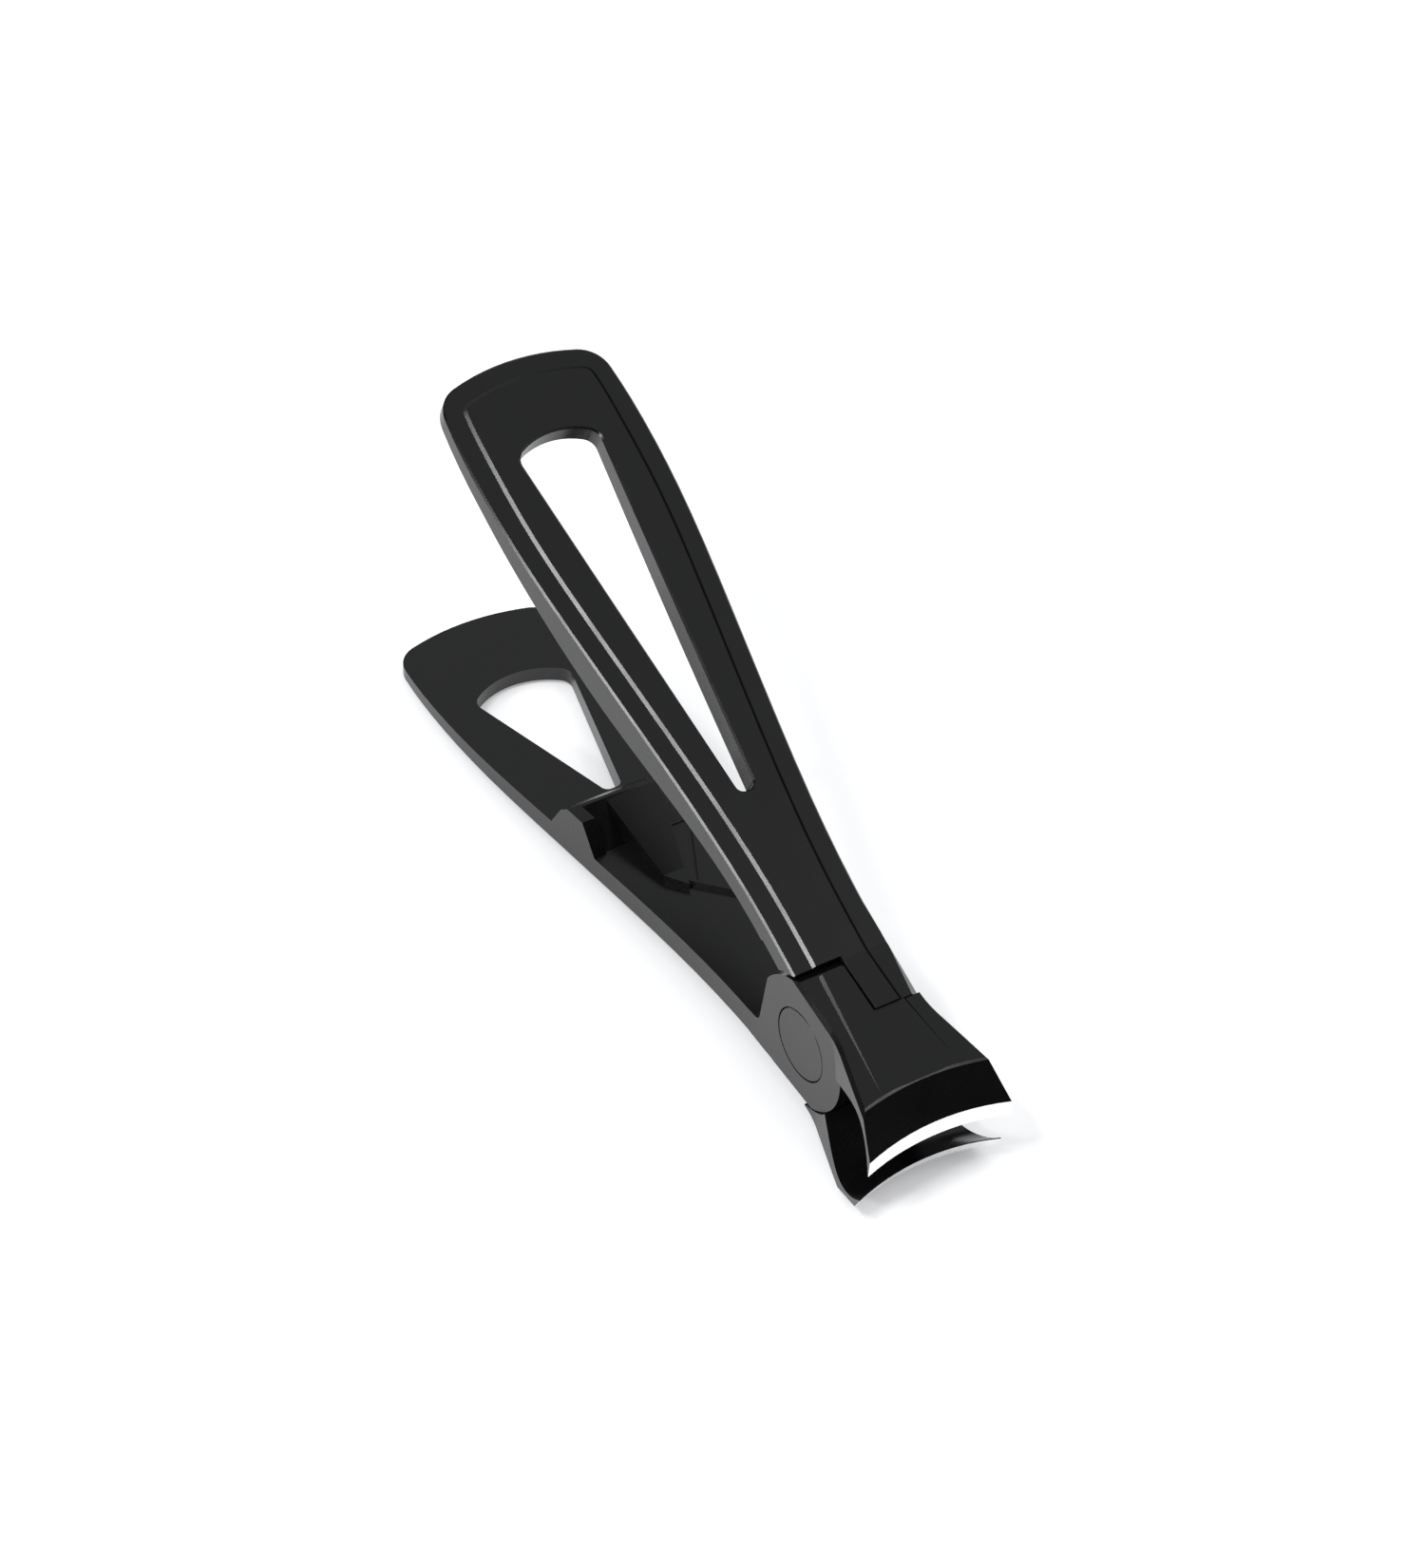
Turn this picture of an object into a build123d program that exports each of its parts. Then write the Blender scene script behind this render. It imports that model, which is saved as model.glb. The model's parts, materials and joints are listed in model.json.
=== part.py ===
"""Plier-type nail clipper: two lapped levers on one flush pivot, with a hidden torsion spring.

Each lever is one piece from its grip to its jaw. The lower lever's grip crosses the pivot to the
upper jaw, and the upper lever's grip crosses it to the lower jaw. At the pivot the levers lie side
by side, each half the width. Both are made by the same code, the second turned half a turn about
the long axis. Millimetres, +X towards the jaws, +Z up, lying open as it rests on a table.
"""

import math
import os

from build123d import *

os.makedirs("parts", exist_ok=True)

# ---------------------------------------------------------------- driving dimensions

half_open = 12.25  # angle of each grip from the long axis, clipper fully open

# grip plate, along the grip from the pivot axis
grip_length = 75.0
grip_height = 5.98  # outer face of the plate from the pivot axis
neck_length = 8.0
grip_half_widths = [(15.0, 5.38), (30.0, 6.76), (45.0, 8.6), (58.0, 9.78), (66.0, 9.86)]
grip_end_half_width = 9.3
grip_end_radius = 24.2
grip_end_taper = -0.12  # slope of the sides where they meet the end
grip_corner_radius = 3.5
rim_width = 2.13
panel_rise = 0.22
panel_bevel = 0.36  # width of the slope round the raised panel
panel_bevel_drop = 0.2
edge_break = 0.2
lower_thickness = [(0.0, 2.9), (30.0, 2.6), (45.0, 2.3), (60.0, 1.8), (77.0, 1.3)]
upper_thickness = [(0.0, 2.3), (20.0, 2.25), (38.0, 2.5), (55.0, 2.25), (77.0, 1.5)]

# flange under each side of the upper grip, deepest near its middle
flange_width = 1.7
flange_depths = [(10.0, 2.2), (24.0, 2.6), (38.0, 3.6), (52.0, 2.7), (70.0, 1.5)]

# grip windows: wedges with a convex far end, as (distance along the grip, half-width)
upper_window = [(23.8, 0.9), (64.5, 4.6)]
lower_window = [(43.4, 0.95), (62.4, 5.85)]
upper_window_bulge = 1.5
lower_window_bulge = 2.4
window_corner = 0.85
window_far_corner = 1.6
window_break = 0.2

# clippings dam across the inner face of the lower grip, as distances along the grip
dam_rear = 42.0
dam_crest = 39.6
dam_shoulder = 37.1
dam_front = 35.0
dam_height = 3.3
dam_wing_width = 1.5
dam_tongue = [(40.0, -3.7), (28.6, -3.0), (26.3, -1.3), (37.4, 2.0), (40.0, 2.6)]
dam_tongue_height = 0.9  # at its tip
dam_apron = [(28.0, -2.6), (20.4, 4.6), (36.0, 4.6), (26.6, -0.1)]
dam_apron_height = 0.6
dam_apron_slope = 0.5  # width of the slope along its front

# joint block
cheek_half_width = 5.2
block_height = 6.82  # flat outer face of the block from the pivot axis
block_root = 8.0
heel_radius = 7.2
heel_flat = 6.85
heel_turn = 40.0  # angle of a point half way up the round of the heel
heel_foot = 6.35
heel_fillet = 0.9
lobe_radius = 6.9
lobe_gap = 0.1
lobe_top = 30.0  # angle at which the lobe runs into the jaw
lip_front = 2.9
lip_gap = 0.03
socket_radius = 7.65
socket_front = 3.55  # flat mouth of the socket behind the pivot axis
lap_gap = 0.1  # from the middle plane to each block
cheek_break = 0.95  # at the lip, fading to the grip's edge break at the root
lap_break = 0.14

# jaws
jaw_roof = 6.62
jaw_flare_start = 3.2
jaw_half_widths = [(6.6, 5.75), (11.8, 7.05), (17.6, 8.45)]
jaw_edge_break = 0.38  # on the side of its own cheek
jaw_far_break = 0.1
ridge_round = 0.15
roof_panel_rise = 0.22
roof_panel_rear = -2.6
roof_panel_half_widths = (2.9, 4.75)  # at its rear and at the ridge
jaw_flare_slope = 0.24
edge_radius = 26.0  # cutting edge, an arc in plan
edge_reach = 15.08  # middle of the cutting edge from the pivot axis
edge_lean = 0.42  # how far the ground face leans back at its top
edge_land = 0.12
ground_top = 3.87  # top of the ground face above the long axis
ridge_reach = 11.2
closing_angle = 7.85  # cutting edge from the long axis, as seen from the pivot
hollow = [(5.6, 2.9), (9.2, 4.95), (11.2, 5.35), (12.9, 4.6)]

# pivot and spring
head_radius = 3.8
head_height = 1.2
head_gap = 0.12
head_break = 0.08
nut_radius = 2.3
fixed_gap = 0.01
running_gap = 0.04
bolt_radius = 1.5
bolt_length = 6.0
bolt_bore_length = 6.6
spring_pocket_radius = 3.7
spring_pocket_depth = 1.7
spring_wire = 0.7
spring_mean_radius = 3.05
spring_turns = 2.5
spring_pitch = 1.0
spring_points = 50  # points along the coil, and along each leg
spring_leg_points = 5
spring_leg_reach = 5.4
spring_slot_width = 0.9
seat_gap = 0.03  # between the nut's head and the lever that turns under it
washer_inner_radius = 4.0
washer_outer_radius = 5.9
washer_thickness = 0.16

overcut = 14.0  # how far cutting and crossing bodies run past what they meet
pivot_x = 29.165  # puts the middle of the whole length over the origin

# ---------------------------------------------------------------- resting position

half_open_sin = math.sin(math.radians(half_open))
half_open_cos = math.cos(math.radians(half_open))
arc_centre = edge_reach + edge_radius
ridge_radius = arc_centre - ridge_reach
edge_height = edge_reach * math.tan(math.radians(closing_angle))
heel_top = -math.sqrt(heel_radius**2 - jaw_roof**2)
spring_leg_length = math.sqrt(spring_leg_reach**2 - spring_mean_radius**2)

# it rests on the end of the lower grip's panel and on the two ends of the lower jaw's ridge
panel_end = grip_length - rim_width
panel_height = grip_height + panel_rise
rest_heel_x = -panel_end * half_open_cos + panel_height * half_open_sin
rest_heel_z = -panel_end * half_open_sin - panel_height * half_open_cos
rest_ridge_x = arc_centre - math.sqrt((ridge_radius + ridge_round) ** 2 - jaw_half_widths[1][1] ** 2)
rest_angle = math.atan2(-jaw_roof - rest_heel_z, rest_ridge_x - rest_heel_x)
rest_sin = math.sin(rest_angle)
rest_cos = math.cos(rest_angle)

pivot = Vector(pivot_x, 0, rest_ridge_x * rest_sin + jaw_roof * rest_cos)
forward = Vector(rest_cos, 0, -rest_sin)
upward = Vector(rest_sin, 0, rest_cos)

# ---------------------------------------------------------------- work planes of one lever


class LeverPlanes:
    """Planes and axes through the pivot for one lever, told apart by the way its jaw faces.

    side: x forward, y towards the jaw's outer face, normal to the lever's own cheek
    plan: x forward, y away from its own cheek, normal to the jaw's outer face
    grip_side: x along the grip, y to the grip's outer face, normal to its own cheek
    grip: x along the grip, y away from its own cheek, normal to the grip's outer face
    arc: x out from the centre of the cutting arc, y towards the jaw's outer face
    """

    def __init__(self, jaw_way, cheek_way):
        rearward = forward * -half_open_cos - jaw_way * half_open_sin
        outward = forward * half_open_sin - jaw_way * half_open_cos
        arc_origin = pivot + forward * arc_centre
        self.side = Plane(origin=pivot, x_dir=forward, z_dir=cheek_way)
        self.plan = Plane(origin=pivot, x_dir=forward, z_dir=jaw_way)
        self.grip_side = Plane(origin=pivot, x_dir=rearward, z_dir=cheek_way)
        self.grip = Plane(origin=pivot, x_dir=rearward, z_dir=outward)
        self.arc = Plane(origin=arc_origin, x_dir=-cheek_way, z_dir=forward)
        self.arc_axis = Axis(arc_origin, jaw_way)
        self.jaw_axis = Axis(pivot, jaw_way)
        self.out_axis = Axis(pivot, outward)
        self.rear_axis = Axis(pivot, rearward)
        self.cheek_axis = Axis(pivot, cheek_way)


lower = LeverPlanes(jaw_way=upward, cheek_way=Vector(0, -1, 0))
upper = LeverPlanes(jaw_way=-upward, cheek_way=Vector(0, 1, 0))

# ---------------------------------------------------------------- grips


def grip_outline(planes, inset=0.0):
    """Plan of the grip plate: a narrow neck, swelling sides and a convex end, all inset alike."""
    half_width = cheek_half_width - inset
    end_half = grip_end_half_width - inset * (1 + grip_end_taper)
    end_radius = grip_end_radius - inset
    end_x = grip_length - grip_end_radius + math.sqrt(end_radius**2 - end_half**2)
    with BuildSketch(planes.grip) as outline:
        with BuildLine():
            for way in (1, -1):
                Line((inset, way * half_width), (neck_length, way * half_width))
                Spline(
                    (neck_length, way * half_width),
                    *[(along, way * (wide - inset)) for along, wide in grip_half_widths],
                    (end_x, way * end_half),
                    tangents=[(1, 0), (1, way * grip_end_taper)],
                )
            ThreePointArc((end_x, end_half), (grip_length - inset, 0), (end_x, -end_half))
            Line((inset, -half_width), (inset, half_width))
        make_face()
        fillet(outline.vertices().sort_by(Axis.X)[-2:], grip_corner_radius - inset)
    return outline.sketch


def window_outline(planes, wedge, bulge):
    """Wedge-shaped window with round corners and a convex far end."""
    (near, near_half), (far, far_half) = wedge
    with BuildSketch(planes.grip) as outline:
        with BuildLine():
            Polyline((far, far_half), (near, near_half), (near, -near_half), (far, -far_half))
            ThreePointArc((far, -far_half), (far + bulge, 0), (far, far_half))
        make_face()
        fillet(outline.vertices().sort_by(Axis.X)[-2:], window_far_corner)
        fillet(outline.vertices().sort_by(Axis.X)[:2], window_corner)
    return outline.sketch


def grip_profile(planes, thickness, outer):
    """Side view of the plate, from its outer face at a height to its bowed inner face."""
    with BuildSketch(planes.grip_side.offset(-overcut)) as profile:
        with BuildLine():
            inner = [(along, outer - depth) for along, depth in thickness]
            Spline(*inner)
            Polyline(inner[-1], (inner[-1][0], outer), (inner[0][0], outer), inner[0])
        make_face()
    return profile.sketch


def socket_outline(planes, side_offset):
    """Side view of what the joint clears from a grip: a round socket with a flat mouth."""
    with BuildSketch(planes.side.offset(side_offset)) as outline:
        Circle(socket_radius)
        with Locations((-socket_front, 0)):
            Rectangle(overcut, overcut * 2, align=(Align.MIN, Align.CENTER))
    return outline.sketch


def make_grip(planes, thickness, wedge, bulge):
    """Grip plate with its raised outer panel, window and, at the joint, its round socket."""
    with BuildPart() as plate:
        extrude(grip_outline(planes), amount=grip_height)
        extrude(grip_profile(planes, thickness, grip_height), amount=2 * overcut, mode=Mode.INTERSECT)
        outer_rim = plate.faces().sort_by(planes.out_axis)[-1].outer_wire().edges()
        chamfer(outer_rim.sort_by(planes.rear_axis)[1:], edge_break)
        extrude(socket_outline(planes, -overcut), amount=2 * overcut, mode=Mode.SUBTRACT)
    with BuildPart() as panel:
        raised = grip_outline(planes, inset=rim_width)
        extrude(raised, amount=panel_height)
        extrude(raised, amount=grip_height - edge_break, mode=Mode.SUBTRACT)
        top = panel.faces().sort_by(planes.out_axis)[-1]
        chamfer(top.outer_wire().edges(), panel_bevel, panel_bevel_drop, reference=top)
        extrude(socket_outline(planes, lap_gap), amount=-overcut, mode=Mode.SUBTRACT)
    with BuildPart() as grip:
        add(plate.part)
        add(panel.part)
        extrude(window_outline(planes, wedge, bulge), amount=panel_height, mode=Mode.SUBTRACT)
        window_rim = grip.faces().sort_by(planes.out_axis)[-1].inner_wires()[0].edges()
        chamfer(window_rim, window_break)
    return grip.part


def make_flange(planes):
    """Flanges along both sides of the inner face, deepest near the middle of the grip."""
    with BuildPart() as flange:
        extrude(grip_outline(planes), amount=grip_height - edge_break)
        extrude(grip_outline(planes, inset=flange_width), amount=grip_height, mode=Mode.SUBTRACT)
        extrude(
            grip_profile(planes, flange_depths, grip_height - edge_break),
            amount=2 * overcut,
            mode=Mode.INTERSECT,
        )
    return flange.part


def make_dam(planes):
    """Wall across the inner face that keeps clippings in front: end wings, a tongue and an apron."""
    floor = grip_height - lower_thickness[1][1]
    root = floor + 1.0
    top = floor - dam_height
    rear_slope = [(dam_rear, root), (dam_rear, floor), (dam_crest + 1.0, top + 0.8), (dam_crest, top)]
    tip = dam_tongue[1][0]
    profiles = [
        [*rear_slope, (dam_shoulder, top), (dam_front, floor), (dam_front, root)],
        [*rear_slope, (dam_crest - 0.4, top), (dam_front + 0.4, floor), (dam_front, root)],
        [(dam_crest, root), (dam_crest, top), (tip, floor - dam_tongue_height), (0, floor), (0, root)],
    ]
    bodies = []
    for profile in profiles:
        with BuildPart() as body:
            with BuildSketch(planes.grip_side.offset(-overcut)):
                with BuildLine():
                    Polyline(*profile, close=True)
                make_face()
            extrude(amount=2 * overcut)
        bodies.append(body.part)
    wing, wall, slope = bodies
    with BuildPart() as ends:
        add(wing)
        extrude(grip_outline(planes), amount=grip_height, mode=Mode.INTERSECT)
        extrude(grip_outline(planes, inset=dam_wing_width), amount=grip_height, mode=Mode.SUBTRACT)
    with BuildPart() as middle:
        add(wall)
        extrude(grip_outline(planes), amount=grip_height, mode=Mode.INTERSECT)
    with BuildPart() as tongue:
        with BuildSketch(planes.grip):
            with BuildLine():
                Polyline(*dam_tongue, close=True)
            make_face()
        extrude(amount=grip_height)
        add(slope, mode=Mode.INTERSECT)
    with BuildPart() as apron:
        with BuildSketch(planes.grip.offset(floor - dam_apron_height)):
            with BuildLine():
                Polyline(*dam_apron, close=True)
            make_face()
        extrude(amount=root - floor + dam_apron_height)
        low_edges = apron.faces().sort_by(planes.out_axis)[0].edges().sort_by(planes.rear_axis)
        chamfer(low_edges[0], dam_apron_height, dam_apron_slope)
    with BuildPart() as dam:
        add(ends.part)
        add(middle.part)
        add(tongue.part)
        add(apron.part)
    return dam.part


# ---------------------------------------------------------------- joint block and jaw


def make_block(planes, thickness):
    """Half-width block beside the pivot: heel, flat outer face with its panel, lip and lobe."""
    heel_low = math.sqrt(heel_radius**2 - heel_flat**2)
    heel_middle = Vector(-heel_radius, 0).rotate(Axis.Z, -heel_turn)
    lobe_low = -math.sqrt(lobe_radius**2 - lip_front**2)
    lobe_end = Vector(lobe_radius, 0).rotate(Axis.Z, lobe_top)
    bend = (grip_height - block_height * half_open_cos) / half_open_sin
    root_outer = -(grip_height + block_root * half_open_sin) / half_open_cos
    root_inner = root_outer + thickness / half_open_cos
    foot_height = root_inner + (block_root - heel_foot) * half_open_sin / half_open_cos
    with BuildPart() as block:
        with BuildSketch(planes.side.offset(lap_gap)) as outline:
            with BuildLine():
                Polyline(
                    (-heel_flat, heel_low),
                    (-heel_foot, foot_height),
                    (-block_root, root_inner),
                    (-block_root, root_outer),
                    (bend, -block_height),
                    (lip_front, -block_height),
                    (lip_front, lobe_low),
                )
                ThreePointArc((lip_front, lobe_low), (lobe_radius, 0), lobe_end)
                Polyline(lobe_end, (lobe_end.X, jaw_roof), (heel_top, jaw_roof))
                ThreePointArc((heel_top, jaw_roof), heel_middle, (-heel_flat, heel_low))
            make_face()
            fillet(outline.vertices().sort_by_distance((-heel_foot, foot_height))[0], heel_fillet)
        extrude(amount=cheek_half_width - lap_gap)
        root_corner = (-block_root, root_outer + edge_break, cheek_half_width)
        lip_corner = (lip_front, cheek_break - block_height, cheek_half_width)
        lip_inside = (lip_front, -block_height, cheek_half_width - cheek_break)
        root_corner, lip_corner, lip_inside = [
            planes.side.from_local_coords(corner) for corner in (root_corner, lip_corner, lip_inside)
        ]
        outside = (lip_inside - root_corner).cross(lip_corner - root_corner)
        with BuildSketch(Plane(origin=root_corner, x_dir=lip_corner - root_corner, z_dir=outside)):
            Rectangle(2 * overcut, 2 * overcut)
        extrude(amount=cheek_break, mode=Mode.SUBTRACT)
        cheek = block.faces().sort_by(planes.cheek_axis)[-1]
        chamfer(cheek.edges().sort_by(planes.jaw_axis)[-1:], jaw_edge_break)
    with BuildPart() as panel:
        panel_top = -block_height - panel_rise
        panel_bend = (panel_height + panel_top * half_open_cos) / half_open_sin
        with BuildSketch(planes.side.offset(lap_gap)):
            with BuildLine():
                Polyline(
                    (panel_bend, 0),
                    (panel_bend, panel_top),
                    (lip_front, panel_top),
                    (lip_front, 0),
                    close=True,
                )
            make_face()
        extrude(amount=cheek_half_width - rim_width - lap_gap)
        top = panel.faces().sort_by(planes.jaw_axis)[0]
        own_edge = top.edges().sort_by(planes.cheek_axis)[-1]
        chamfer(own_edge, panel_bevel, panel_bevel_drop, reference=top)
        top = panel.faces().sort_by(planes.jaw_axis)[0]
        chamfer(top.edges().sort_by(planes.cheek_axis)[0], lap_break)
    with BuildPart() as whole:
        add(block.part)
        add(panel.part)
    return whole.part


def jaw_outline(planes, rear):
    """Plan of the jaw: the width of the joint at the rear, flaring to the cutting edge."""
    tip, tip_half = jaw_half_widths[-1]
    with BuildSketch(planes.plan) as outline:
        with BuildLine():
            for way in (1, -1):
                Line((rear, way * cheek_half_width), (jaw_flare_start, way * cheek_half_width))
                Spline(
                    (jaw_flare_start, way * cheek_half_width),
                    *[(reach, way * wide) for reach, wide in jaw_half_widths],
                    tangents=[(1, 0), (1, way * jaw_flare_slope)],
                )
            Line((tip, tip_half), (tip, -tip_half))
            Line((rear, cheek_half_width), (rear, -cheek_half_width))
        make_face()
    return outline.sketch


def make_jaw(planes):
    """Arched jaw plate: hollow inside, sloped in front, ground to an edge that is an arc in plan."""
    tip = jaw_half_widths[-1][0]
    slope_length = math.hypot(ridge_radius - edge_radius - edge_lean, jaw_roof - ground_top)
    slope_run = (ridge_radius - edge_radius - edge_lean) / slope_length
    slope_rise = (jaw_roof - ground_top) / slope_length
    with BuildPart() as jaw:
        extrude(jaw_outline(planes, heel_top), amount=jaw_roof)
        roof = jaw.faces().sort_by(planes.jaw_axis)[-1]
        chamfer(roof.edges().sort_by(planes.cheek_axis)[-2:], jaw_edge_break)
        roof = jaw.faces().sort_by(planes.jaw_axis)[-1]
        chamfer(roof.edges().sort_by(planes.cheek_axis)[:2], jaw_far_break)
        with BuildSketch(planes.arc):
            with BuildLine():
                hollow_line = [(arc_centre - reach, height) for reach, height in hollow]
                inner_edge = (edge_radius + edge_land, edge_height)
                Spline(*hollow_line, inner_edge)
                Polyline(
                    inner_edge,
                    (inner_edge[0], -jaw_roof),
                    (hollow_line[0][0], -jaw_roof),
                    hollow_line[0],
                )
            make_face()
            with BuildLine():
                Polyline(
                    (edge_radius, -jaw_roof),
                    (edge_radius, edge_height),
                    (edge_radius + edge_lean, ground_top),
                    (ridge_radius - slope_run * ridge_round, jaw_roof - slope_rise * ridge_round),
                    (ridge_radius + ridge_round, jaw_roof),
                    (ridge_radius + ridge_round, 2 * jaw_roof),
                    (edge_radius / 2, 2 * jaw_roof),
                    (edge_radius / 2, -jaw_roof),
                    close=True,
                )
            make_face()
        revolve(axis=planes.arc_axis, mode=Mode.SUBTRACT)
        with BuildSketch(planes.side.offset(-overcut)):
            with BuildLine():
                closed_height = 2 * tip * math.tan(math.radians(closing_angle))
                Polyline((0, 0), (2 * tip, closed_height), (2 * tip, -1), (0, -1), close=True)
            make_face()
        extrude(amount=2 * overcut, mode=Mode.SUBTRACT)
        with BuildSketch(planes.side.offset(cheek_half_width)):
            Circle(lobe_radius)
        extrude(amount=overcut, mode=Mode.SUBTRACT)
    return jaw.part


def make_head(planes, thickness):
    """Joint block and jaw in one, with the roof panel, lapped over the other lever's block."""
    with BuildPart() as head:
        add(make_jaw(planes))
        with BuildSketch(planes.side.offset(lap_gap)):
            Circle(lobe_radius + lobe_gap)
            with Locations((lip_front + lip_gap, 0)):
                Rectangle(overcut, overcut * 2, align=(Align.MAX, Align.CENTER))
        extrude(amount=-overcut, mode=Mode.SUBTRACT)
        add(make_block(planes, thickness))
    with BuildPart() as panel:
        rear_half, front_half = roof_panel_half_widths
        with BuildSketch(planes.plan):
            with BuildLine():
                Polyline(
                    (roof_panel_rear, rear_half),
                    (ridge_reach, front_half),
                    (ridge_reach, -front_half),
                    (roof_panel_rear, -rear_half),
                    close=True,
                )
            make_face()
        extrude(amount=2 * jaw_roof)
        with BuildSketch(planes.side.offset(-overcut)):
            with BuildLine():
                Polyline(
                    (roof_panel_rear, jaw_roof + roof_panel_rise),
                    (ridge_reach, jaw_roof),
                    (ridge_reach, jaw_roof - edge_break),
                    (roof_panel_rear, jaw_roof - edge_break),
                    close=True,
                )
            make_face()
        extrude(amount=2 * overcut, mode=Mode.INTERSECT)
        top = panel.faces().sort_by(planes.jaw_axis)[-1]
        side_edges = top.edges().sort_by(planes.cheek_axis)
        chamfer([side_edges[0], side_edges[-1]], panel_bevel, panel_bevel_drop, reference=top)
        with BuildSketch(planes.side.offset(lap_gap)):
            with Locations((lip_front + lip_gap, 0)):
                Rectangle(overcut, overcut * 2, align=(Align.MAX, Align.CENTER))
        extrude(amount=-overcut, mode=Mode.SUBTRACT)
    with BuildPart() as whole:
        add(head.part)
        add(panel.part)
    return whole.part


def make_lever(planes, thickness, wedge, bulge, extra, bore_radius):
    """One lever complete: grip, its inner flanges or dam, joint, jaw and the pivot's bores."""
    with BuildPart() as lever:
        add(make_grip(planes, thickness, wedge, bulge))
        add(extra)
        add(make_head(planes, thickness[0][1]))
        with BuildSketch(planes.side):
            Circle(bore_radius)
        extrude(amount=overcut, mode=Mode.SUBTRACT)
        with BuildSketch(planes.side.offset(cheek_half_width - head_height)):
            Circle(head_radius + head_gap)
        extrude(amount=overcut, mode=Mode.SUBTRACT)
        with BuildSketch(planes.side):
            Circle(spring_pocket_radius)
            with Locations((0, -spring_mean_radius)):
                Rectangle(
                    spring_leg_length + spring_slot_width,
                    spring_slot_width,
                    align=(Align.MAX, Align.CENTER),
                )
        extrude(amount=lap_gap + spring_pocket_depth, mode=Mode.SUBTRACT)
    return lever.part


# ---------------------------------------------------------------- levers

with BuildPart() as lower_lever:
    add(
        make_lever(
            lower,
            lower_thickness,
            lower_window,
            lower_window_bulge,
            make_dam(lower),
            nut_radius + fixed_gap,
        )
    )

with BuildPart() as upper_lever:
    add(
        make_lever(
            upper,
            upper_thickness,
            upper_window,
            upper_window_bulge,
            make_flange(upper),
            nut_radius + running_gap,
        )
    )

# ---------------------------------------------------------------- pivot

head_seat = cheek_half_width - head_height

with BuildPart() as pivot_bolt:
    with BuildSketch(lower.side.offset(head_seat)):
        Circle(head_radius)
    extrude(amount=head_height)
    chamfer(pivot_bolt.edges().sort_by(lower.cheek_axis)[-1], head_break)
    with BuildSketch(lower.side.offset(head_seat)):
        Circle(bolt_radius)
    extrude(amount=-bolt_length)

with BuildPart() as pivot_nut:
    with BuildSketch(upper.side.offset(head_seat + seat_gap)):
        Circle(head_radius)
    extrude(amount=head_height - seat_gap)
    chamfer(pivot_nut.edges().sort_by(upper.cheek_axis)[-1], head_break)
    with BuildSketch(lower.side.offset(head_seat - fixed_gap)):
        Circle(nut_radius)
    extrude(amount=-2 * head_seat - seat_gap)
    with BuildSketch(lower.side.offset(head_seat)):
        Circle(bolt_radius + fixed_gap)
    extrude(amount=-bolt_bore_length, mode=Mode.SUBTRACT)

with BuildPart() as thrust_washer:
    with BuildSketch(lower.side.offset(-washer_thickness / 2)):
        Circle(washer_outer_radius)
        Circle(washer_inner_radius, mode=Mode.SUBTRACT)
    extrude(amount=washer_thickness)

# ---------------------------------------------------------------- spring

# each leg lies in the slot of one lever and runs straight into the coil
coil_length = spring_turns * spring_pitch
leg_shares = [point / spring_leg_points for point in range(spring_leg_points, 0, -1)]
coil_shares = [point / spring_points for point in range(spring_points + 1)]
first_leg = [(-spring_leg_length * share, -spring_mean_radius, coil_length / 2) for share in leg_shares]
second_leg = [(x, -y, -z) for x, y, z in reversed(first_leg)]
coil = [
    (
        spring_mean_radius * math.sin(spring_turns * 2 * math.pi * share),
        -spring_mean_radius * math.cos(spring_turns * 2 * math.pi * share),
        coil_length * (0.5 - share),
    )
    for share in coil_shares
]

with BuildPart() as torsion_spring:
    with BuildLine(lower.side) as spring_line:
        Spline(*first_leg, *coil, *second_leg)
    with BuildSketch(Plane(origin=spring_line.line @ 0, z_dir=spring_line.line % 0)):
        Circle(spring_wire / 2)
    sweep(path=spring_line.line)

# ---------------------------------------------------------------- export

lower_lever.part.label = "lower_lever"
upper_lever.part.label = "upper_lever"
pivot_bolt.part.label = "pivot_bolt"
pivot_nut.part.label = "pivot_nut"
thrust_washer.part.label = "thrust_washer"
torsion_spring.part.label = "torsion_spring"

export_step(lower_lever.part, "parts/lower_lever.step")
export_step(upper_lever.part, "parts/upper_lever.step")
export_step(pivot_bolt.part, "parts/pivot_bolt.step")
export_step(pivot_nut.part, "parts/pivot_nut.step")
export_step(thrust_washer.part, "parts/thrust_washer.step")
export_step(torsion_spring.part, "parts/torsion_spring.step")
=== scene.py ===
"""Looks for the plier-type nail clipper: materials, stage, lights and camera round the CAD."""

import json
import math

import bpy
from mathutils import Matrix, Vector

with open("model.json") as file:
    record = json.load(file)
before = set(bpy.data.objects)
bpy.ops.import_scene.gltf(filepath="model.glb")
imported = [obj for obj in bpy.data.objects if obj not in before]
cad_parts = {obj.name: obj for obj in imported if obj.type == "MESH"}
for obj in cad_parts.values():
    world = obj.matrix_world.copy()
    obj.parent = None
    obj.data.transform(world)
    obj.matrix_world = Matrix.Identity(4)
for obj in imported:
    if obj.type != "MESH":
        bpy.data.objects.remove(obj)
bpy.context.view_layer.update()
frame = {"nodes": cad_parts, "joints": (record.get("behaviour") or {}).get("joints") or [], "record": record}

MM = 0.001
PIVOT = Vector(frame["joints"][0]["pos_m"])
REST_ANGLE = math.radians(10.3254)  # the tool's long axis dips this far below level, jaws down
FORWARD = Vector((math.cos(REST_ANGLE), 0, -math.sin(REST_ANGLE)))
ACROSS = Vector((0, 1, 0))
UPWARD = Vector((math.sin(REST_ANGLE), 0, math.cos(REST_ANGLE)))

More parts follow.
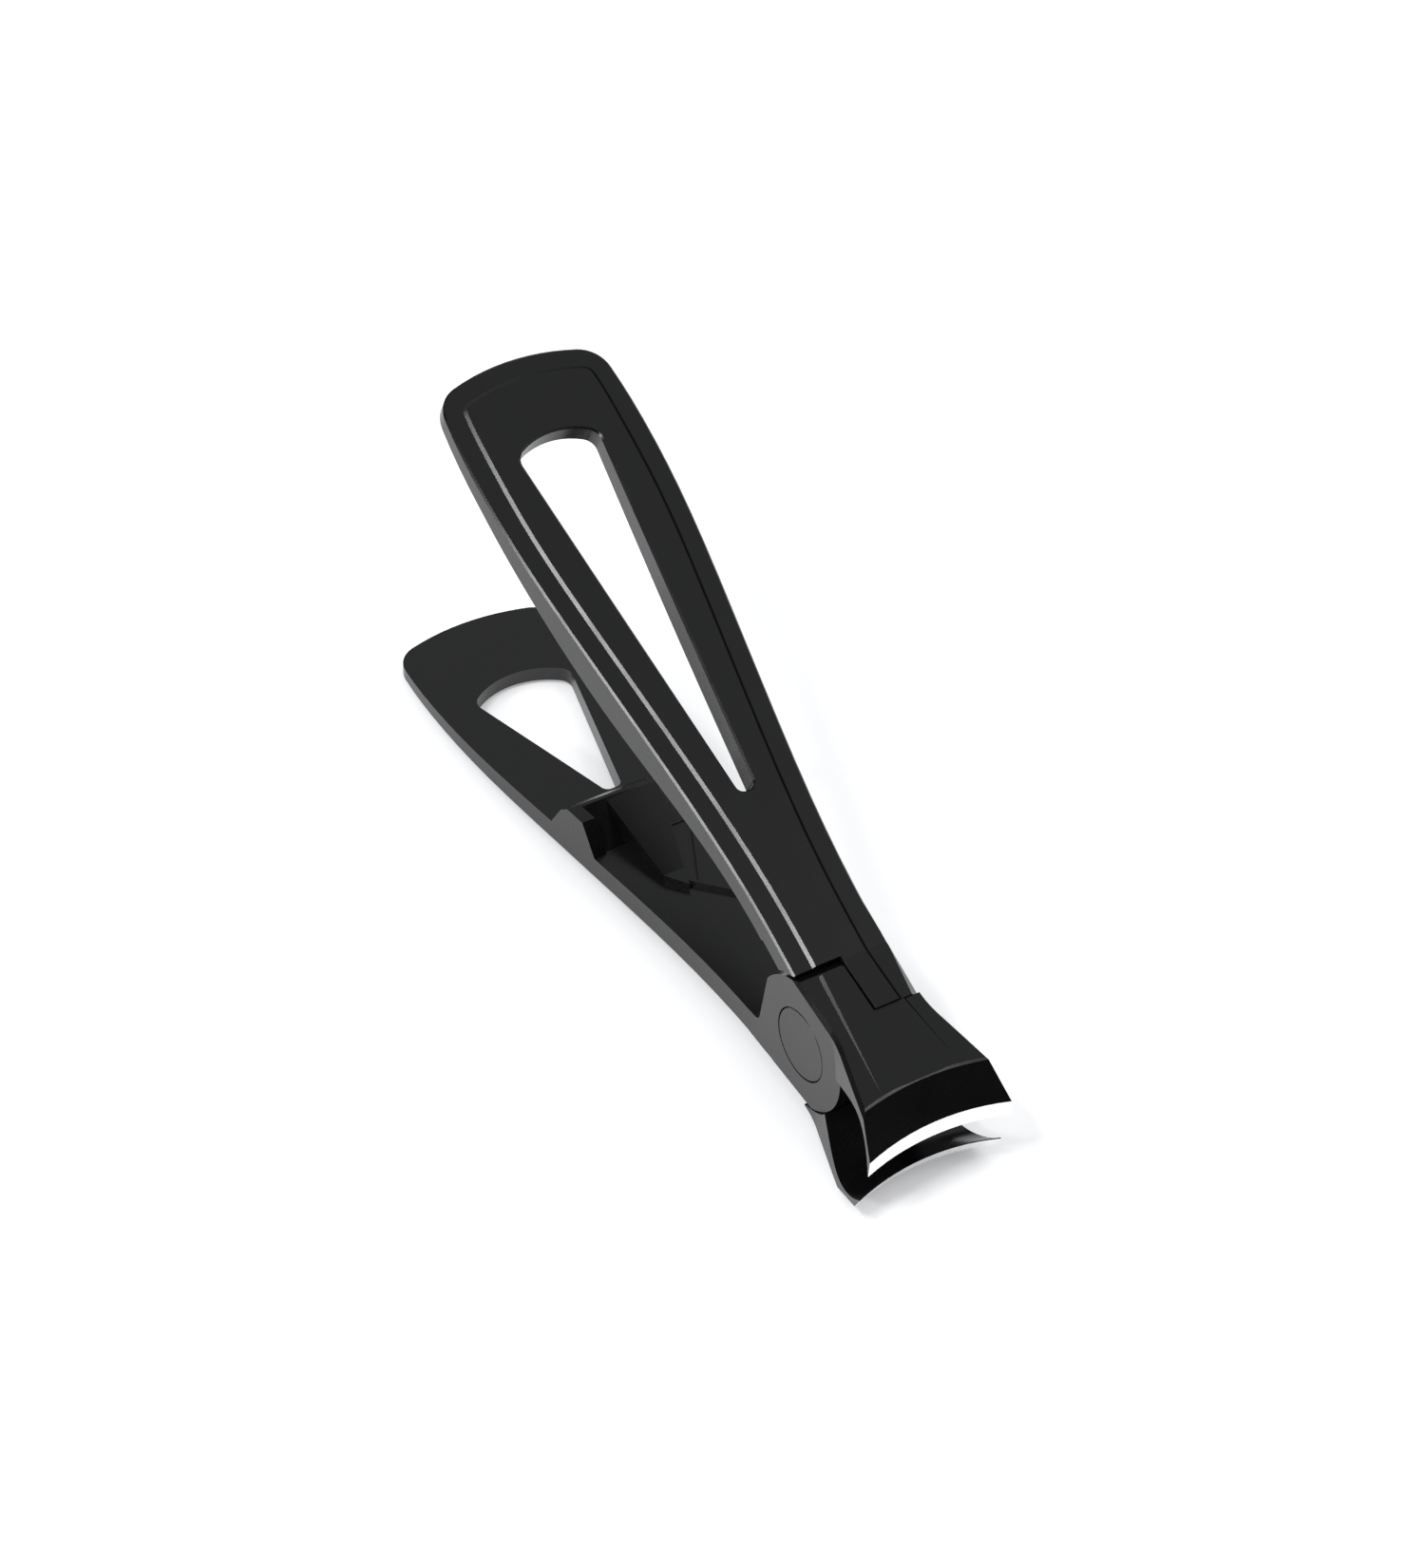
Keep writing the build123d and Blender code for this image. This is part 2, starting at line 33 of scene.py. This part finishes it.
EDGE_ARC_CENTRE = 41.08 * MM  # centre of the cutting arcs, ahead of the pivot
EDGE_ARC_RADIUS = 26.0 * MM
EDGE_HEIGHT = 2.08 * MM  # of the cutting edge above the long axis
GROUND_TOP = 3.87 * MM
GROUND_LEAN = 0.42 / 1.79  # how far the ground face leans back for each unit of height
GROUND_MARGIN = 0.03 * MM  # the bare steel's mask reaches this far past the arc's radius
GROUND_TOP_MARGIN = 0.02 * MM  # and this far past the top

FLOOR_GLOW = 0.86  # the table shines of itself, so shadows on it stay pale
SHADOW_GLOW = 0.45 * FLOOR_GLOW  # painted shadow: that glow where the tool all but touches the table
SHADOW_REACH = 9 * MM  # how near the tool must be for the painted shadow to darken that glow
WORLD_GLOW = 0.44
WORLD_FLOOR = 0.02  # the little that the rest of the room gives
WORLD_COLOUR = (0.96, 0.98, 1.0, 1)
STRIP_DISTANCE = 1.3

# ---------------------------------------------------------------- node helpers


class Graph:
    """A material's node tree, with short calls for the nodes used here."""

    def __init__(self, name):
        self.material = bpy.data.materials.new(name)
        self.material.use_nodes = True
        self.nodes = self.material.node_tree.nodes
        self.links = self.material.node_tree.links
        self.shader = self.nodes["Principled BSDF"]
        self.coords = self.nodes.new("ShaderNodeTexCoord").outputs["Object"]

    def put(self, value, socket):
        if isinstance(value, bpy.types.NodeSocket):
            self.links.new(value, socket)
        else:
            socket.default_value = value

    def math(self, operation, a, b=0.0, c=0.0, clamp=False):
        node = self.nodes.new("ShaderNodeMath")
        node.operation = operation
        node.use_clamp = clamp
        for value, socket in zip((a, b, c), node.inputs):
            self.put(value, socket)
        return node.outputs[0]

    def vector(self, operation, a, b=(0, 0, 0)):
        node = self.nodes.new("ShaderNodeVectorMath")
        node.operation = operation
        self.put(a, node.inputs[0])
        self.put(b, node.inputs[1])
        return node.outputs["Value" if operation in ("DOT_PRODUCT", "LENGTH") else "Vector"]

    def combine(self, x, y, z):
        node = self.nodes.new("ShaderNodeCombineXYZ")
        for value, socket in zip((x, y, z), node.inputs):
            self.put(value, socket)
        return node.outputs[0]

    def remap(self, value, low, high, to_low=0.0, to_high=1.0):
        node = self.nodes.new("ShaderNodeMapRange")
        for entry, socket in zip((value, low, high, to_low, to_high), node.inputs):
            self.put(entry, socket)
        return node.outputs[0]

    def noise(self, vector, scale, detail=2.0, roughness=0.5):
        node = self.nodes.new("ShaderNodeTexNoise")
        self.put(vector, node.inputs["Vector"])
        node.inputs["Scale"].default_value = scale
        node.inputs["Detail"].default_value = detail
        node.inputs["Roughness"].default_value = roughness
        return node.outputs["Fac"]

    def mix(self, factor, a, b, kind="FLOAT"):
        node = self.nodes.new("ShaderNodeMix")
        node.data_type = kind
        first = {"FLOAT": 2, "VECTOR": 4, "RGBA": 6}[kind]
        self.put(factor, node.inputs[0])
        self.put(a, node.inputs[first])
        self.put(b, node.inputs[first + 1])
        return node.outputs[{"FLOAT": 0, "VECTOR": 1, "RGBA": 2}[kind]]

    def bump(self, height, distance, strength=1.0, normal=None):
        node = self.nodes.new("ShaderNodeBump")
        self.put(height, node.inputs["Height"])
        node.inputs["Distance"].default_value = distance
        self.put(strength, node.inputs["Strength"])
        if normal is not None:
            self.put(normal, node.inputs["Normal"])
        return node.outputs[0]

    def edge_wear_and_highlight(self, radius, low, high):
        """0 on flat faces, 1 along sharp edges: how far a rounded normal leaves the real one."""
        bevel = self.nodes.new("ShaderNodeBevel")
        bevel.samples = 8
        bevel.inputs["Radius"].default_value = radius
        true_normal = self.nodes.new("ShaderNodeNewGeometry").outputs["True Normal"]
        agreement = self.vector("DOT_PRODUCT", bevel.outputs[0], true_normal)
        return self.remap(agreement, 1 - low, 1 - high)

    def from_pivot(self):
        """Metres from the pivot along the tool's long axis, across it, and up from it."""
        offset = self.vector("SUBTRACT", self.coords, PIVOT)
        return [self.vector("DOT_PRODUCT", offset, axis) for axis in (FORWARD, ACROSS, UPWARD)]

    def finish(self, **inputs):
        for name, value in inputs.items():
            self.put(value, self.shader.inputs[name.replace("_", " ")])
        return self.material


def coated_colours(graph):
    """Near-black satin coat: blotches of tone a few millimetres wide over a fine grain."""
    blotch = graph.noise(graph.coords, 180, 3, 0.55)
    grain = graph.noise(graph.coords, 5200, 2, 0.6)
    tone = graph.math("MULTIPLY_ADD", grain, 0.35, graph.math("MULTIPLY", blotch, 0.65))
    colour = graph.mix(tone, (0.0026, 0.0026, 0.0029, 1), (0.0062, 0.0062, 0.0067, 1), "RGBA")
    return colour, blotch, grain


def black_steel():
    graph = Graph("satin_black_steel")
    along, across, up = graph.from_pivot()
    colour, blotch, grain = coated_colours(graph)
    smear = graph.remap(blotch, 0.3, 0.7, 0.21, 0.26)
    roughness = graph.math("ADD", smear, graph.math("MULTIPLY", grain, 0.05))

    # worn edges and a painted edge highlight: the coat is lightened in patches along every sharp edge,
    # standing in for the thin bright lines that edges catch
    wear_and_highlight = graph.edge_wear_and_highlight(0.08 * MM, 0.03, 0.2)
    patches = graph.remap(graph.noise(graph.coords, 260, 3, 0.6), 0.4, 0.65)
    wear_and_highlight = graph.math("MULTIPLY", wear_and_highlight, patches)
    colour = graph.mix(graph.math("MULTIPLY", wear_and_highlight, 0.3), colour, (0.06, 0.06, 0.063, 1), "RGBA")
    roughness = graph.mix(graph.math("MULTIPLY", wear_and_highlight, 0.3), roughness, 0.2)

    # the ground faces are bare steel, inside the radius where the grinding wheel stopped
    out = graph.math("SUBTRACT", EDGE_ARC_CENTRE, along)
    radius = graph.vector("LENGTH", graph.combine(out, across, 0.0))
    height = graph.math("ABSOLUTE", up)
    lean = graph.math("MULTIPLY", graph.math("SUBTRACT", height, EDGE_HEIGHT), GROUND_LEAN)
    reach = graph.math("SUBTRACT", radius, lean)
    inside = graph.math("LESS_THAN", reach, EDGE_ARC_RADIUS + GROUND_MARGIN)
    below = graph.math("LESS_THAN", height, GROUND_TOP + GROUND_TOP_MARGIN)
    ground = graph.math("MULTIPLY", inside, below)
    turn = graph.math("MULTIPLY", graph.math("ARCTAN2", across, out), EDGE_ARC_RADIUS)
    lines = graph.noise(graph.combine(turn, graph.math("MULTIPLY", up, 0.02), 0.0), 9000, 3, 0.7)
    steel = graph.mix(lines, (0.84, 0.84, 0.85, 1), (0.97, 0.97, 0.98, 1), "RGBA")
    steel_roughness = graph.remap(lines, 0.3, 0.7, 0.2, 0.34)
    colour = graph.mix(ground, colour, steel, "RGBA")
    roughness = graph.mix(ground, roughness, steel_roughness)
    coat_bump = graph.bump(grain, 0.006 * MM, 0.6)
    ground_bump = graph.bump(lines, 0.004 * MM, 0.5)
    normal = graph.mix(ground, coat_bump, ground_bump, "VECTOR")
    return graph.finish(
        Base_Color=colour,
        Metallic=ground,
        Roughness=roughness,
        Normal=normal,
        IOR=1.5,
    )


def pivot_steel():
    graph = Graph("turned_black_steel")
    along, _, up = graph.from_pivot()
    colour, blotch, grain = coated_colours(graph)
    radius = graph.vector("LENGTH", graph.combine(along, 0.0, up))
    rings = graph.noise(graph.combine(radius, 0.0, 0.0), 7000, 2, 0.6)
    turned = graph.remap(rings, 0.3, 0.7, 0.34, 0.42)
    roughness = graph.math("ADD", turned, graph.math("MULTIPLY", blotch, 0.05))
    # worn edges and a painted edge highlight: the coat is lightened along every sharp edge
    wear_and_highlight = graph.edge_wear_and_highlight(0.1 * MM, 0.02, 0.12)
    colour = graph.mix(graph.math("MULTIPLY", wear_and_highlight, 0.4), colour, (0.08, 0.08, 0.085, 1), "RGBA")
    normal = graph.bump(grain, 0.005 * MM, 0.5, graph.bump(rings, 0.004 * MM, 0.5))
    return graph.finish(Base_Color=colour, Roughness=roughness, Normal=normal, IOR=1.6)


def spring_steel():
    graph = Graph("drawn_spring_wire")
    along, across, up = graph.from_pivot()
    radius = graph.vector("LENGTH", graph.combine(along, 0.0, up))
    draw = graph.noise(graph.combine(radius, across, 0.0), 6000, 2, 0.6)
    stain = graph.noise(graph.coords, 600, 3, 0.6)
    colour = graph.mix(stain, (0.30, 0.30, 0.31, 1), (0.50, 0.50, 0.52, 1), "RGBA")
    roughness = graph.remap(draw, 0.3, 0.7, 0.22, 0.38)
    normal = graph.bump(draw, 0.004 * MM, 0.6)
    return graph.finish(Base_Color=colour, Metallic=1.0, Roughness=roughness, Normal=normal)


def washer_brass():
    graph = Graph("rolled_brass")
    roll = graph.noise(graph.vector("MULTIPLY", graph.coords, (1.0, 1.0, 0.03)), 8000, 2, 0.6)
    tarnish = graph.noise(graph.coords, 500, 4, 0.6)
    colour = graph.mix(tarnish, (0.42, 0.30, 0.13, 1), (0.66, 0.50, 0.26, 1), "RGBA")
    roughness = graph.remap(tarnish, 0.3, 0.7, 0.28, 0.42)
    normal = graph.bump(roll, 0.003 * MM, 0.5)
    return graph.finish(Base_Color=colour, Metallic=1.0, Roughness=roughness, Normal=normal)


finishes = {
    "black_steel": black_steel(),
    "pivot_steel": pivot_steel(),
    "spring_steel": spring_steel(),
    "washer_brass": washer_brass(),
}
for entry in frame["record"]["subparts"]:
    node = frame["nodes"][entry["node"]]
    for slot in node.material_slots:
        slot.material = finishes[entry["material_slot"]]


# ---------------------------------------------------------------- stage


def floor_material():
    """Pale table that shines of itself, with a painted shadow where the tool is near: the glow is dimmed
    there.
    """
    graph = Graph("pale_table")
    cloud = graph.noise(graph.coords, 3, 2, 0.5)
    speck = graph.noise(graph.coords, 900, 2, 0.6)
    colour = graph.mix(cloud, (0.78, 0.785, 0.80, 1), (0.80, 0.803, 0.815, 1), "RGBA")
    # painted shadow: ambient occlusion dims the table's glow near the tool
    painted_shadow_nearness = graph.nodes.new("ShaderNodeAmbientOcclusion")
    painted_shadow_nearness.samples = 8
    painted_shadow_nearness.inputs["Distance"].default_value = SHADOW_REACH
    glow = graph.remap(painted_shadow_nearness.outputs["AO"], 0.1, 1.0, SHADOW_GLOW, FLOOR_GLOW)
    return graph.finish(
        Base_Color=colour,
        Roughness=graph.remap(speck, 0.3, 0.7, 0.75, 0.85),
        IOR=1.3,
        Emission_Color=colour,
        Emission_Strength=glow,
    )


bpy.ops.mesh.primitive_plane_add(size=6, location=(0, 0, 0))
floor = bpy.context.object
floor.name = "table"
floor.data.materials.append(floor_material())


def softbox(name, azimuth, elevation, width, height, radiance):
    """Area light aimed at the tool, placed by its direction and by how bright its face is."""
    azimuth, elevation = math.radians(azimuth), math.radians(elevation)
    level = STRIP_DISTANCE * math.cos(elevation)
    rise = STRIP_DISTANCE * math.sin(elevation)
    place = Vector((level * math.cos(azimuth), level * math.sin(azimuth), rise))
    light = bpy.data.lights.new(name, "AREA")
    light.shape = "RECTANGLE"
    light.size = width
    light.size_y = height
    light.energy = radiance * math.pi * width * height
    lamp = bpy.data.objects.new(name, light)
    lamp.location = place
    lamp.rotation_euler = (-place).to_track_quat("-Z", "Y").to_euler()
    bpy.context.scene.collection.objects.link(lamp)


softbox("low_strip", 271, 28, 0.32, 0.14, 32)
softbox("high_strip", 276, 58, 0.36, 0.12, 40)
softbox("ridge_strip", 48, 54, 0.4, 0.12, 6)
softbox("roof_strip", 234, 57, 0.4, 0.12, 6)


def studio_world():
    """Dark room whose far left side glows from a third of the way up."""
    world = bpy.data.worlds.new("studio")
    world.use_nodes = True
    nodes, links = world.node_tree.nodes, world.node_tree.links
    direction = nodes.new("ShaderNodeTexCoord").outputs["Generated"]

    def ramp(aim, start, end, top):
        """0 to top as the direction turns towards aim."""
        part = nodes.new("ShaderNodeVectorMath")
        part.operation = "DOT_PRODUCT"
        part.inputs[1].default_value = aim
        links.new(direction, part.inputs[0])
        node = nodes.new("ShaderNodeMapRange")
        node.interpolation_type = "SMOOTHSTEP"
        node.inputs["From Min"].default_value = start
        node.inputs["From Max"].default_value = end
        node.inputs["To Max"].default_value = top
        links.new(part.outputs["Value"], node.inputs["Value"])
        return node.outputs[0]

    strength = nodes.new("ShaderNodeMath")
    strength.operation = "MULTIPLY_ADD"
    links.new(ramp((-0.707, 0.707, 0.0), -0.1, 0.12, 1.0), strength.inputs[0])
    links.new(ramp((0.0, 0.0, 1.0), 0.3, 0.55, WORLD_GLOW), strength.inputs[1])
    strength.inputs[2].default_value = WORLD_FLOOR
    background = nodes["Background"]
    background.inputs["Color"].default_value = WORLD_COLOUR
    links.new(strength.outputs[0], background.inputs["Strength"])
    return world


bpy.context.scene.world = studio_world()
bpy.context.scene.view_settings.view_transform = "Standard"

# ---------------------------------------------------------------- camera

# place and directions along the tool's long axis, across it, and up from it
camera_place = Vector((151.40, -162.15, 313.26)) * MM
camera_forward = Vector((-0.45671, 0.41484, -0.78698))
camera_up = Vector((-0.73261, 0.32646, 0.59724))
axes = Matrix((FORWARD, ACROSS, UPWARD)).transposed()
back = -(axes @ camera_forward).normalized()
right = (axes @ camera_up).cross(back).normalized()
turn = Matrix((right, back.cross(right), back)).transposed().to_4x4()
lens = bpy.data.cameras.new("camera")
lens.lens = 91.44
lens.sensor_width = 36
lens.clip_start = 0.01
camera = bpy.data.objects.new("camera", lens)
camera.matrix_world = Matrix.Translation(PIVOT + axes @ camera_place) @ turn
bpy.context.scene.collection.objects.link(camera)
bpy.context.scene.camera = camera
